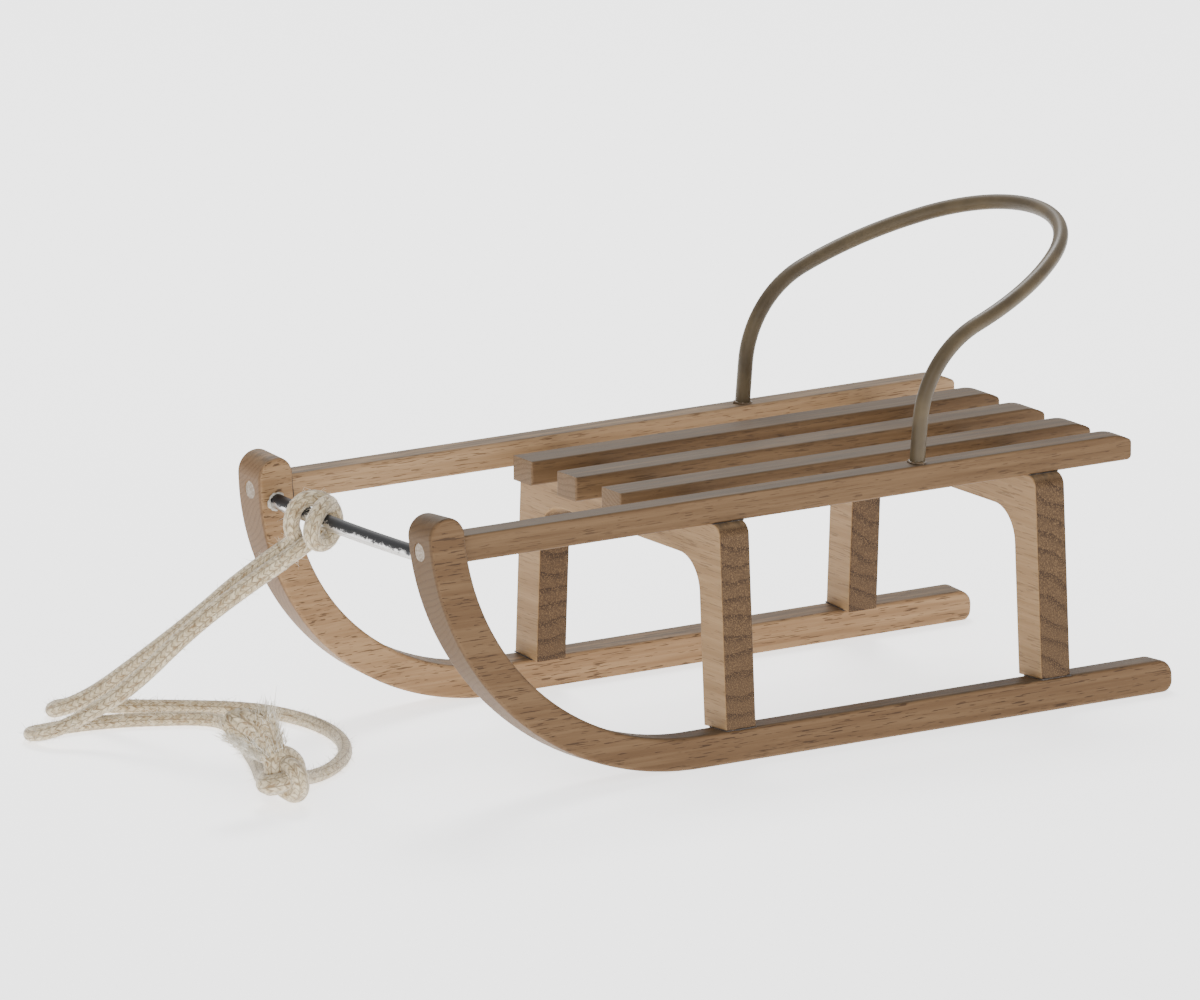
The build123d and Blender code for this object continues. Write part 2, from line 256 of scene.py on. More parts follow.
# %% Beech group
beech, beech_in, beech_out = effect_group(
    "beech",
    {
        "Place": ("NodeSocketVector", None),
        "Facing": ("NodeSocketVector", None),
        "Pith": ("NodeSocketVector", (0.0, 30.0, -40.0)),
        "Ring Width": ("NodeSocketFloat", 1.0),
        "Pale": ("NodeSocketColor", rgba(0.45, 0.29, 0.17)),
        "Dark": ("NodeSocketColor", rgba(0.33, 0.19, 0.10)),
        "Fleck": ("NodeSocketColor", rgba(0.035, 0.018, 0.009)),
        "Fleck Amount": ("NodeSocketFloat", 1.0),
        "Ring Contrast": ("NodeSocketFloat", 0.3),
        "End Colour": ("NodeSocketColor", rgba(0.22, 0.12, 0.065)),
    },
    {
        "Colour": ("NodeSocketColor", None),
        "Height": ("NodeSocketFloat", None),
        "Roughness": ("NodeSocketFloat", None),
    },
)
in_mm = vector(beech, "MULTIPLY", beech_in["Place"], (1000.0, 1000.0, 1000.0))
# Fibres: noise stretched about forty times along X.
streak = noise(beech, vector(beech, "MULTIPLY", in_mm, (0.02, 0.8, 0.8)), detail=5.0, roughness=0.6)
fibre = noise(beech, vector(beech, "MULTIPLY", in_mm, (0.12, 5.0, 5.0)), detail=2.0)
# Growth rings: distance from the pith across the fibres, bent a little by slow noise.
drift = noise(beech, vector(beech, "MULTIPLY", in_mm, (0.015, 0.08, 0.08)), detail=1.0)
across = vector(beech, "MULTIPLY", vector(beech, "SUBTRACT", in_mm, beech_in["Pith"]), (0.0, 1.0, 1.0))
ring_radius = wire(beech, "ShaderNodeVectorMath", {0: across}, operation="LENGTH").outputs["Value"]
bent_radius = number(beech, "MULTIPLY_ADD", drift, 6.0, ring_radius)
ring_phase = number(beech, "FRACT", number(beech, "DIVIDE", bent_radius, beech_in["Ring Width"]))
late_wood = number(
    beech, "MULTIPLY", ramp(beech, ring_phase, 0.45, 0.92), ramp(beech, ring_phase, 0.92, 1.0, 1.0, 0.0)
)
# Ray flecks: the tops of a noise that is long along the fibres and thin across them.
fleck_field = noise(beech, vector(beech, "MULTIPLY", in_mm, (0.26, 4.2, 4.2)), detail=1.5, roughness=0.4)
fleck_patch = noise(beech, vector(beech, "MULTIPLY", in_mm, (0.06, 0.3, 0.3)), detail=1.0)
fleck_edge = number(beech, "MULTIPLY_ADD", fleck_patch, -0.20, 0.72)
fleck_mask = number(
    beech,
    "MULTIPLY",
    ramp(beech, number(beech, "SUBTRACT", fleck_field, fleck_edge), 0.0, 0.03),
    beech_in["Fleck Amount"],
    clamp=True,
)
# End grain: how squarely the surface faces along the fibres.
facing_x = wire(beech, "ShaderNodeSeparateXYZ", {0: beech_in["Facing"]}).outputs[0]
end_grain = ramp(beech, number(beech, "ABSOLUTE", facing_x), 0.45, 0.85)
pore = noise(beech, vector(beech, "MULTIPLY", in_mm, (0.4, 4.5, 4.5)), detail=2.0, roughness=0.7)
wood_colour = blend_colour(beech, ramp(beech, streak, 0.32, 0.68), beech_in["Pale"], beech_in["Dark"])
wood_colour = blend_colour(
    beech, number(beech, "MULTIPLY", ramp(beech, fibre, 0.4, 0.75), 0.3), wood_colour, beech_in["Dark"]
)
wood_colour = blend_colour(beech, number(beech, "MULTIPLY", late_wood, 0.15), wood_colour, beech_in["Dark"])
fleck_here = number(beech, "MULTIPLY", fleck_mask, number(beech, "SUBTRACT", 1.0, end_grain))
wood_colour = blend_colour(
    beech, number(beech, "MULTIPLY", fleck_here, 0.85), wood_colour, beech_in["Fleck"]
)
ring_strength = number(beech, "MULTIPLY", late_wood, beech_in["Ring Contrast"])
end_colour = blend_colour(beech, ring_strength, beech_in["End Colour"], beech_in["Fleck"])
end_colour = blend_colour(
    beech, number(beech, "MULTIPLY", ramp(beech, pore, 0.48, 0.66), 0.55), end_colour, beech_in["Dark"]
)
beech.links.new(blend_colour(beech, end_grain, wood_colour, end_colour), beech_out["Colour"])
relief = number(beech, "MULTIPLY_ADD", fibre, 0.35, number(beech, "MULTIPLY", fleck_here, -0.6))
beech.links.new(number(beech, "MULTIPLY_ADD", pore, 0.25, relief), beech_out["Height"])
beech.links.new(number(beech, "MULTIPLY_ADD", streak, 0.12, 0.46), beech_out["Roughness"])
print("beech group nodes:", len(beech.nodes))

# %% [markdown]
# ## Beech for each part
# Every part was sawn from its own board, so each gets its own tones and its own place in the grain. A board's
# fibres run along the part: along X for runners, rails and slats, along Y for the trestles. One material that
# all parts share would be less work, but then the same streak would run on from one part into the next.

# %% Beech materials


def beech_material(name, turn, pith, ring_width, pale, dark, end, flecks, shift, ring_contrast=0.3):
    """Beech with its fibres along the axis that `turn` brings onto X."""
    material, tree, shader = surface(name)
    place = wire(tree, "ShaderNodeTexCoord").outputs["Object"]
    facing = wire(tree, "ShaderNodeNewGeometry").outputs["Normal"]
    turned = wire(tree, "ShaderNodeMapping", {"Vector": place, "Rotation": turn, "Location": shift})
    turned_facing = wire(
        tree, "ShaderNodeMapping", {"Vector": facing, "Rotation": turn}, vector_type="NORMAL"
    )
    values = {
        "Place": turned.outputs[0],
        "Facing": turned_facing.outputs[0],
        "Pith": pith,
        "Ring Width": ring_width,
        "Pale": pale,
        "Dark": dark,
        "End Colour": end,
        "Fleck Amount": flecks,
        "Ring Contrast": ring_contrast,
    }
    grain = wire(tree, "ShaderNodeGroup", node_tree=beech)
    feed(tree, grain, values)
    # Faces that look up are made darker and greyer, in patches that run along the fibres.
    upward = wire(tree, "ShaderNodeSeparateXYZ", {0: facing}).outputs[2]
    patchy = noise(tree, vector(tree, "MULTIPLY", turned.outputs[0], (60.0, 900.0, 900.0)), detail=4.0)
    top_darkening = number(tree, "MULTIPLY", ramp(tree, upward, 0.55, 0.95), ramp(tree, patchy, 0.25, 0.7, 0.35, 0.85))
    top_darkened_colour = blend_colour(tree, top_darkening, grain.outputs["Colour"], rgba(0.072, 0.054, 0.036))
    tree.links.new(top_darkened_colour, shader.inputs["Base Color"])
    tree.links.new(grain.outputs["Roughness"], shader.inputs["Roughness"])
    roughen(tree, shader, grain.outputs["Height"], 0.35, 0.15 * mm)
    shader.inputs["Specular IOR Level"].default_value = 0.15
    return material


def dress(node_name, material):
    """Give a ready-made part its finish."""
    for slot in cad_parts[node_name].material_slots:
        slot.material = material


along_x = (0.0, 0.0, 0.0)
y_onto_x = (0.0, 0.0, -np.pi / 2)
runner_tones = (
    ("left", 0.0, rgba(0.166, 0.099, 0.049), rgba(0.114, 0.063, 0.029), rgba(0.108, 0.064, 0.032)),
    ("right", 0.31, rgba(0.355, 0.222, 0.115), rgba(0.240, 0.140, 0.068), rgba(0.165, 0.098, 0.052)),
)
for side_name, side_shift, pale, dark, end in runner_tones:
    runner_wood = beech_material(
        f"runner_beech_{side_name}", along_x, (0.0, 60.0, -25.0), 1.1,
        pale, dark, end, 0.85, (side_shift, 0.0, side_shift / 7),
    )
    dress(f"runner_{side_name}", runner_wood)
for end_name, end_shift in (("front", 0.0), ("rear", 0.17)):
    trestle_wood = beech_material(
        f"trestle_beech_{end_name}", y_onto_x, (0.0, 0.0, -400.0), 3.6,
        rgba(0.350, 0.222, 0.112), rgba(0.258, 0.157, 0.075), rgba(0.076, 0.043, 0.021), 0.4,
        (end_shift, end_shift, 0.0), 0.85,
    )
    dress(f"{end_name}_trestle", trestle_wood)
bar_tones = {
    "seat_rail_left": (rgba(0.165, 0.098, 0.048), rgba(0.105, 0.058, 0.026)),
    "seat_rail_right": (rgba(0.400, 0.258, 0.142), rgba(0.275, 0.168, 0.086)),
    "seat_slat_left": (rgba(0.165, 0.100, 0.050), rgba(0.106, 0.060, 0.028)),
    "seat_slat_middle": (rgba(0.180, 0.110, 0.055), rgba(0.116, 0.066, 0.031)),
    "seat_slat_right": (rgba(0.160, 0.096, 0.047), rgba(0.102, 0.057, 0.026)),
}
for count, (bar_name, (pale, dark)) in enumerate(bar_tones.items()):
    bar_wood = beech_material(
        f"{bar_name}_beech", along_x, (0.0, -20.0 + 9 * count, 15.0), 0.9,
        pale, dark, rgba(0.190, 0.120, 0.066), 0.6,
        (0.13 * count, 0.0, 0.02 * count),
    )
    dress(bar_name, bar_wood)

# %% [markdown]
# ## Wire, dowels and paint
# The pull bar is bare drawn wire, bright below, where it looks at the floor; its upper side is painted
# near black in ragged patches, a painted dark reflection. The hoop is the same wire in a brown coat that is
# glossy but a little uneven. The dowels show pale ends. All of these patterns come from noise on the part's
# own place, so none of them needs a picture.

# %% Steel, paint and dowel materials


def steel_material():
    """Bare wire, bright below; the upper side is painted near black in ragged patches, a painted dark
    reflection.
    """
    material, tree, shader = surface("bare_wire")
    place = wire(tree, "ShaderNodeTexCoord").outputs["Object"]
    normal = wire(tree, "ShaderNodeNewGeometry").outputs["Normal"]
    upward = wire(tree, "ShaderNodeSeparateXYZ", {0: normal}).outputs[2]
    ragged = noise(tree, vector(tree, "MULTIPLY", place, (900.0, 450.0, 900.0)), detail=6.0, roughness=0.75)
    # scale: mask of a painted dark reflection, full on the upper side and ragged down the flanks, where the
    # wire turns near black and less metallic.
    scale = ramp(tree, number(tree, "MULTIPLY_ADD", ragged, 2.6, upward), 1.25, 1.5)
    colour = blend_colour(tree, scale, rgba(0.62, 0.61, 0.60), rgba(0.012, 0.012, 0.014))
    tree.links.new(colour, shader.inputs["Base Color"])
    tree.links.new(ramp(tree, scale, 0.0, 1.0, 0.28, 0.5), shader.inputs["Roughness"])
    tree.links.new(ramp(tree, scale, 0.0, 1.0, 1.0, 0.25), shader.inputs["Metallic"])
    roughen(tree, shader, ragged, 0.4, 0.08 * mm)
    return material


def paint_material():
    """Brown coat: slow changes of tone, faint orange peel and a clear gloss."""
    material, tree, shader = surface("hoop_coat")
    place = wire(tree, "ShaderNodeTexCoord").outputs["Object"]
    tone = noise(tree, place, scale=140.0, detail=3.0)
    peel = noise(tree, place, scale=1800.0, detail=2.0)
    deep_brown, light_brown = rgba(0.058, 0.040, 0.019), rgba(0.095, 0.068, 0.034)
    colour = blend_colour(tree, ramp(tree, tone, 0.3, 0.7), deep_brown, light_brown)
    tree.links.new(colour, shader.inputs["Base Color"])
    tree.links.new(ramp(tree, tone, 0.2, 0.8, 0.42, 0.55), shader.inputs["Roughness"])
    roughen(tree, shader, peel, 0.15, 0.05 * mm)
    shader.inputs["Specular IOR Level"].default_value = 0.3
    shader.inputs["Coat Weight"].default_value = 0.08
    shader.inputs["Coat Roughness"].default_value = 0.2
    return material


def dowel_material():
    """Pale end grain of a dowel: small open pores in a chalky ground."""
    material, tree, shader = surface("dowel_end")
    place = wire(tree, "ShaderNodeTexCoord").outputs["Object"]
    pores = noise(tree, place, scale=2600.0, detail=3.0, roughness=0.7)
    pore_brown, chalky = rgba(0.22, 0.17, 0.125), rgba(0.40, 0.34, 0.28)
    colour = blend_colour(tree, ramp(tree, pores, 0.35, 0.65), pore_brown, chalky)
    tree.links.new(colour, shader.inputs["Base Color"])
    roughen(tree, shader, pores, 0.5, 0.1 * mm)
    shader.inputs["Roughness"].default_value = 0.8
    return material


dress("pull_bar", steel_material())
dress("back_hoop", paint_material())
dowel_finish = dowel_material()
dress("horn_pin_left", dowel_finish)
dress("horn_pin_right", dowel_finish)

# %% [markdown]
# ## Knitted cord
# The pull cord is a soft knitted cotton tube, cream with tan flecks. A knitted tube shows columns of small V
# stitches. Modelling each stitch would take far too many faces, so the stitches are colour and relief, with
# painted shade in the gaps between them. The pattern follows the tube, so it reads the tube's own UV map: U
# runs along the cord in stitches and V around it in columns.

# %% Cord material


def cord_material():
    """Cream cotton: V stitches in columns with painted shade in their gaps, flecks of tan yarn and a soft
    sheen.
    """
    material, tree, shader = surface("knitted_cotton")
    along_around = wire(tree, "ShaderNodeUVMap", uv_map="knit").outputs[0]
    along, around, _ = wire(tree, "ShaderNodeSeparateXYZ", {0: along_around}).outputs
    place = wire(tree, "ShaderNodeTexCoord").outputs["Object"]
    column = number(tree, "ABSOLUTE", number(tree, "SUBTRACT", number(tree, "FRACT", around), 0.5))
    slope = number(tree, "MULTIPLY_ADD", column, 1.3, along)
    stitch = number(tree, "ABSOLUTE", number(tree, "SUBTRACT", number(tree, "FRACT", slope), 0.5))
    gap = number(tree, "MAXIMUM", ramp(tree, stitch, 0.34, 0.5), ramp(tree, column, 0.38, 0.5))
    yarn = noise(tree, place, scale=900.0, detail=4.0, roughness=0.65)
    wide_around = number(tree, "MULTIPLY", around, 1.6)
    stitch_place = wire(tree, "ShaderNodeCombineXYZ", {0: slope, 1: wide_around}).outputs[0]
    fleck = noise(tree, stitch_place, scale=1.1, detail=2.0, roughness=0.5)
    colour = blend_colour(tree, ramp(tree, yarn, 0.3, 0.7), rgba(0.36, 0.27, 0.15), rgba(0.66, 0.56, 0.385))
    colour = blend_colour(
        tree, number(tree, "MULTIPLY", ramp(tree, fleck, 0.56, 0.66), 0.7), colour, rgba(0.19, 0.105, 0.038)
    )
    # Painted shade: the gaps between stitches and between columns are darkened, as the shade that falls in
    # them.
    colour = blend_colour(tree, number(tree, "MULTIPLY", gap, 0.75), colour, rgba(0.16, 0.11, 0.055))
    tree.links.new(colour, shader.inputs["Base Color"])
    height = number(tree, "MULTIPLY_ADD", gap, -1.0, number(tree, "MULTIPLY", yarn, 0.5))
    roughen(tree, shader, height, 0.6, 0.15 * mm)
    shader.inputs["Roughness"].default_value = 0.95
    shader.inputs["Sheen Weight"].default_value = 0.4
    shader.inputs["Sheen Roughness"].default_value = 0.5
    return material


def fuzz_material():
    """Single cotton fibres, paler than the cord."""
    material, tree, shader = surface("cotton_fuzz")
    place = wire(tree, "ShaderNodeTexCoord").outputs["Object"]
    tone = noise(tree, place, scale=700.0, detail=2.0)
    colour = blend_colour(tree, ramp(tree, tone, 0.35, 0.65), rgba(0.56, 0.48, 0.34), rgba(0.85, 0.80, 0.68))
    tree.links.new(colour, shader.inputs["Base Color"])
    shader.inputs["Roughness"].default_value = 0.9
    shader.inputs["Sheen Weight"].default_value = 0.5
    return material


cotton = cord_material()
cord_width = 2.8 * mm
stitch_length = 1.5 * mm
stitch_columns = 7
ring_spacing = 0.35 * mm
points_around = 24


def knit_uv(mesh, rings, around, length):
    """UV map for a tube made by grid_mesh: U counts stitches along it, V counts columns around it."""
    ring = np.repeat(np.linspace(0.0, length / stitch_length, rings), around)
    turn = np.tile(np.arange(around) / around * stitch_columns, rings)
    corner = np.zeros(len(mesh.loops), dtype=np.int32)
    mesh.loops.foreach_get("vertex_index", corner)
    values = np.stack([ring[corner], turn[corner]], axis=1)
    # A face that closes the tube takes its far edge from the last column, not the first.
    sides = len(mesh.polygons) - 2
    block = values[: sides * 4].reshape(sides, 4, 2)
    wraps = (block[:, :, 1].max(axis=1) - block[:, :, 1].min(axis=1)) > stitch_columns / 2
    first_column = block[:, :, 1] < 0.01
    block[:, :, 1] = np.where(wraps[:, None] & first_column, stitch_columns, block[:, :, 1])
    layer = mesh.uv_layers.new(name="knit")
    layer.data.foreach_set("uv", values.ravel().astype(np.float32))


def spline_points(name, route, resolution):
    """Points along a smooth curve through open air: a NURBS spline with the route as control points."""
    curve = bpy.data.curves.new(name, "CURVE")
    curve.dimensions = "3D"
    spline = curve.splines.new("NURBS")
    spline.points.add(len(route) - 1)
    spline.points.foreach_set("co", np.column_stack([route, np.ones(len(route))]).ravel())
    spline.order_u = 3
    spline.use_endpoint_u = True
    spline.resolution_u = resolution
    holder = bpy.data.objects.new(name, curve)
    line = bpy.data.meshes.new_from_object(holder)
    points = np.zeros(len(line.vertices) * 3)
    line.vertices.foreach_get("co", points)
    bpy.data.objects.remove(holder)
    bpy.data.meshes.remove(line)
    return points.reshape(-1, 3)


def even_path(points, spacing):
    """The same line with points a fixed distance apart."""
    step = np.linalg.norm(np.diff(points, axis=0), axis=1)
    along = np.concatenate([[0.0], np.cumsum(step)])
    places = np.linspace(0.0, along[-1], int(along[-1] / spacing) + 1)
    return np.stack([np.interp(places, along, points[:, axis]) for axis in range(3)], axis=1), along[-1]


def cord_piece(name, route, fuller=0.0, eased_at=1.0):
    """Knitted tube along a route in metres, fuller by a share up to eased_at of its length."""
    path, length = even_path(spline_points(name + "_line", np.asarray(route), 24), ring_spacing)
    share = np.linspace(0.0, 1.0, len(path))
    radius = cord_width / 2 * (1.0 + fuller / (1.0 + np.exp((share - eased_at) * 60.0)))
    mesh = grid_mesh(name, carry_tube(path, radius, points_around))
    knit_uv(mesh, len(path), points_around, length)
    print(name, "length", round(length / mm, 1), "mm")
    return add_piece(name, mesh, cotton), path


# %% [markdown]
# ## The two strands of the pull cord
# One cord is hitched round the pull bar at its middle and its two ends are knotted together. So two strands
# leave the hitch side by side, slope down to the floor on the sledge's right, fold back and meet at the knot.
# A cord simulation would settle somewhere else each time a setting changes. So each route is a few control
# points for a smooth NURBS spline, given from the foot of a plumb line under the bar, and the tube is carried
# along points read from that spline.

# %% Cord routes
bar_x, bar_z = 80.6 * mm, 47.125 * mm
bar_foot = np.array([bar_x, 0.0, 0.0])
neck_end = np.array([84.5, -18.4, 38.725]) * mm
cord_way = np.array([0.46, -0.66, -0.595])
cord_way /= np.linalg.norm(cord_way)
strand_offset = np.array([-0.718, -1.2, 0.776])
strand_offset *= (cord_width + 0.4 * mm) / 2 / np.linalg.norm(strand_offset)
straight_run = 11 * mm


def route_from(start, places):
    """Control points: the start, a point straight on, then the places, given from the bar's foot."""
    first = np.stack([start, start + cord_way * straight_run])
    return np.concatenate([first, bar_foot + np.array(places) * mm])


long_route = route_from(
    neck_end + strand_offset,
    [
        (12.8, -34.9, 24.6), (19.6, -47.4, 13.2), (25.0, -57.2, 4.8), (29.8, -64.2, 1.4),
        (24.8, -68.2, 1.4), (18.0, -62.0, 1.4), (4.9, -52.9, 1.4), (-5.0, -44.2, 1.4),
        (-9.0, -32.0, 1.4), (-8.0, -18.0, 1.4), (-2.2, -5.4, 1.4), (6.4, 3.6, 1.4),
        (14.4, 7.6, 1.4), (20.6, 12.8, 3.6),
    ],
)
short_route = route_from(
    neck_end - strand_offset,
    [
        (17.9, -30.6, 23.2), (26.8, -37.6, 11.6), (34.8, -42.5, 5.6), (41.6, -44.4, 3.0),
        (42.7, -51.8, 1.4), (35.6, -52.6, 1.4), (26.4, -52.2, 1.4), (16.4, -48.8, 1.4),
        (5.0, -42.2, 1.4), (6.7, -32.0, 1.4), (11.7, -20.5, 1.4), (18.2, -5.0, 1.4),
        (22.8, 3.6, 1.4), (25.2, 10.6, 3.6),
    ],
)
long_strand, long_path = cord_piece("pull_cord_long", long_route, fuller=0.22, eased_at=0.36)
short_strand, short_path = cord_piece("pull_cord_short", short_route, fuller=0.22, eased_at=0.30)
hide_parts("cord_strand_long")
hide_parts("cord_strand_short")

# %% [markdown]
# ## The hitch round the bar
# The cord's middle is wound twice round the bar. Seen along the bar each winding is a circle just large
# enough for bar and cord; the cord also creeps sideways, so the two windings stand apart and the bar shows
# between them. The path is worked out from a winding angle, and both ends run into the strands.

# %% Hitch
winding = np.radians([-62, -35, 0, 35, 70, 105, 145, 190, 235, 280, 320, 352, 385, 420, 460, 505, 550, 598])
creep = np.array(
    [
        -17.0, -16.4, -15.8, -15.2, -14.3, -13.0, -11.6, -10.6, -9.6,
        -8.4, -7.4, -6.8, -7.0, -7.8, -9.4, -11.4, -13.0, -14.4,
    ]
) * mm
stand_off = np.array(
    [5.0, 4.2, 3.4, 3.3, 3.4, 3.4, 3.3, 3.2, 3.6, 4.9, 5.6, 4.9, 3.8, 3.3, 3.2, 3.2, 3.4, 4.4]
) * mm
windings = np.stack(
    [bar_x + stand_off * np.cos(winding), creep, bar_z + stand_off * np.sin(winding)], axis=1
)
upper_start, lower_start = long_route[0], short_route[0]
hitch_route = np.concatenate(
    [
        [upper_start + cord_way * 1.0 * mm, upper_start - cord_way * 3.0 * mm],
        windings,
        [lower_start - cord_way * 4.5 * mm, lower_start + cord_way * 1.0 * mm],
    ]
)
hitch, hitch_path = cord_piece("hitch", hitch_route, fuller=0.16)
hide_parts("cord_hitch")

# %% [markdown]
# ## The knot
# Both strands are tied together in one overhand knot, pulled tight. A trefoil is the same knot with its ends
# joined: x = sin t + 2 sin 2t, y = cos t - 2 cos 2t, z = -sin 3t. Two cords carried side by side along
# one trefoil, drawn in until they press on each other, give the knot its lobes and its deep dark crevices.

# %% Knot
knot_centre = bar_foot + np.array([26.4, 18.0, 5.8]) * mm
knot_top = np.array([0.62, 0.58, 0.53])
knot_top /= np.linalg.norm(knot_top)
knot_side = np.cross(knot_top, (0.0, 0.0, 1.0))
knot_side /= np.linalg.norm(knot_side)
knot_axes = np.stack([knot_side, np.cross(knot_top, knot_side), knot_top])


def trefoil(count, size, height, outwards, upwards):
    """Closed overhand knot through (sin t + 2 sin 2t, cos t - 2 cos 2t, -sin 3t), pushed out and up."""
    t = np.linspace(0.0, 2 * np.pi, count, endpoint=False)
    flat = np.stack([np.sin(t) + 2 * np.sin(2 * t), np.cos(t) - 2 * np.cos(2 * t)], axis=1)
    away = flat / np.linalg.norm(flat, axis=1)[:, None]
    place = np.column_stack([flat * size + away * outwards, -np.sin(3 * t) * height + upwards])
    return knot_centre + place @ knot_axes


lap_points, lap_around, lap_radius = 300, 20, 1.85 * mm
knit_run = 60 * mm
for lap, (outwards, upwards) in enumerate(((0.25, 0.95), (-0.15, -0.95))):
    lap_path = trefoil(lap_points, 1.2 * mm, 2.1 * mm, outwards * mm, upwards * mm)
    lap_tube = carry_tube(np.vstack([lap_path, lap_path[:2]]), lap_radius, lap_around)
    lap_mesh = grid_mesh(f"knot_lap_{lap}", lap_tube)
    knit_uv(lap_mesh, len(lap_tube), lap_around, knit_run)
    lap_piece = add_piece(f"knot_lap_{lap}", lap_mesh, cotton)
    if lap == 0:
        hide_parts("cord_knot")
    print(lap_piece.name, "faces", len(lap_mesh.polygons))

# Each strand runs on from its last point into the heart of the knot.
for lead_name, strand_path in (("long", long_path), ("short", short_path)):
    tip = strand_path[-1]
    inward = [strand_path[-4], tip, tip + 0.5 * (knot_centre - tip), knot_centre]
    cord_piece(f"knot_lead_{lead_name}", inward)

# %% [markdown]
# ## Frayed ends and fuzz
# Beyond the knot the two cut ends have come undone into brushes of fibres, and short hairs stand off the
# whole cord. Blender's own hair would be quicker to add, but it isn't a mesh and gets lost on export. So a
# fibre is a three-sided tapering tube along a parabola, root + s * way + s^2 * droop, and all fibres of one
# kind are worked out together as one mesh. Every random number comes from one seeded generator.

# %% Fibre helper
dice = np.random.default_rng(7)


def fibre_mesh(name, roots, ways, droops, thickness, rings=5):
    """Many fibres in one mesh: ring k of a fibre lies at s = k / (rings - 1) on root + s*way + s*s*droop."""
    count = len(roots)
    s = np.linspace(0.0, 1.0, rings)[None, :, None]
    centre = roots[:, None, :] + s * ways[:, None, :] + s * s * droops[:, None, :]
    tangent = ways[:, None, :] + 2 * s * droops[:, None, :]
    tangent /= np.linalg.norm(tangent, axis=2)[:, :, None]
    side = np.cross(tangent, (0.31, 0.52, 0.79))
    side /= np.linalg.norm(side, axis=2)[:, :, None]
    top = np.cross(tangent, side)
    reach = np.asarray(thickness).reshape(-1, 1, 1) / 2 * (1.0 - 0.75 * s)
    angle = np.array([0.0, 2 * np.pi / 3, 4 * np.pi / 3])
    corners = np.stack([centre + reach * (np.cos(a) * side + np.sin(a) * top) for a in angle], axis=2)
    first = np.arange(count)[:, None, None] * rings * 3 + np.arange(rings - 1)[None, :, None] * 3
    here = np.arange(3)[None, None, :]
    after = (here + 1) % 3
    quads = np.stack([first + here, first + after, first + 3 + after, first + 3 + here], axis=-1)
    start = np.arange(count)[:, None] * rings * 3
    caps = np.concatenate([start + [2, 1, 0], start + (rings - 1) * 3 + [0, 1, 2]])
    mesh = bpy.data.meshes.new(name)
    mesh.from_pydata(corners.reshape(-1, 3).tolist(), [], quads.reshape(-1, 4).tolist() + caps.tolist())
    mesh.shade_smooth()
    return mesh


def loose_hairs(name, path, radius, per_mm, reach):
    """Hairs scattered round a path, leaning along it either way; reach is their length range."""
    tangent, side, top = path_frames(path)
    path_length = np.linalg.norm(np.diff(path, axis=0), axis=1).sum() / mm
    count = int(path_length * per_mm)
    at = dice.integers(1, len(path) - 1, count)
    a = dice.uniform(0.0, 2 * np.pi, count)[:, None]
    outward = np.cos(a) * side[at] + np.sin(a) * top[at]
    length = dice.uniform(reach[0], reach[1], count)[:, None]
    lean_along = dice.normal(0.0, 1.1, count)[:, None]
    way = outward * dice.uniform(0.25, 0.9, count)[:, None] + tangent[at] * lean_along
    way *= length / np.linalg.norm(way, axis=1)[:, None]
    droop = dice.normal(0.0, 0.3, (count, 3)) * length
    roots = path[at] + outward * radius * 0.93
    kept = (roots + way + droop)[:, 2] > 0.1 * mm
    return fibre_mesh(name, roots[kept], way[kept], droop[kept], dice.uniform(0.05, 0.11, kept.sum()) * mm)


# %% [markdown]
# ### Fuzz
# Handled cotton grows a thin halo of hairs, which is what makes its outline look soft. Nine short hairs to
# each millimetre of cord are enough for that, and hairs that would end in the floor are left out.

# %% Fuzz on the cord
fuzz_cotton = fuzz_material()
for fuzz_name, fuzz_path in (("long", long_path), ("short", short_path), ("hitch", hitch_path)):
    fuzz_mesh = loose_hairs(
        f"fuzz_{fuzz_name}", fuzz_path, cord_width / 2, per_mm=9, reach=(0.5 * mm, 1.7 * mm)
    )
    add_piece(f"fuzz_{fuzz_name}", fuzz_mesh, fuzz_cotton)
    print("fuzz on", fuzz_name, "faces", len(fuzz_mesh.polygons))

# %% [markdown]
# ### Frayed ends
# The two ends stand up from the knot side by side, each a thick lock of fibres that spreads towards a ragged
# tip. Drawing every fibre would cost too many faces. Each lock is one grid with furrows twisted along it, and
# loose wisps that start inside it break up its outline.

# %% Frayed ends
tuft_way = np.array([6.5, -1.0, 13.0])
tuft_way /= np.linalg.norm(tuft_way)
tuft_wide = np.array([13.0, 0.0, -6.5])
tuft_wide /= np.linalg.norm(tuft_wide)
tuft_deep = np.cross(tuft_way, tuft_wide)
tuft_root = knot_centre + tuft_way * 3.5 * mm
brush_rings, brush_around = 60, 72


def brush(name, lean, length, root_half, tip_half):
    """Undone cord end: an oval section that widens from root_half to tip_half and ends in a ragged edge."""
    u = np.linspace(0.0, 1.0, brush_rings)[:, None]
    a = np.linspace(0.0, 2 * np.pi, brush_around, endpoint=False)[None, :]
    furrows = np.sin(9 * a + 5 * u) * 0.09 + np.sin(23 * a - 7 * u) * 0.05
    rounded_tip = np.sqrt(np.clip(1.02 - u**9, 0, 1))
    half = (root_half + (tip_half - root_half) * u**1.3) * (1.0 + furrows) * rounded_tip
    ragged = (np.sin(13 * a) * 0.5 + np.sin(31 * a + 1.3) * 0.5) * 0.5 * mm * u**4
    along = (u * length + ragged)[..., None] * tuft_way
    bow = (u**1.5 * lean)[..., None] * tuft_wide
    wide = (half * np.cos(a))[..., None] * tuft_wide
    deep = (half * 0.62 * np.sin(a))[..., None] * tuft_deep
    return grid_mesh(name, tuft_root + along + bow + wide + deep)


for brush_name, lean, reach_out in (("right", -0.6 * mm, 11.0 * mm), ("left", 4.2 * mm, 13.8 * mm)):
    brush_mesh = brush(f"frayed_{brush_name}", lean, reach_out, 2.3 * mm, 3.7 * mm)
    knit_uv(brush_mesh, brush_rings, brush_around, reach_out)
    brush_piece = add_piece(f"frayed_{brush_name}", brush_mesh, cotton)
    if brush_name == "left":
        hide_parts("frayed_ends")
    print(brush_piece.name, "faces", len(brush_mesh.polygons))

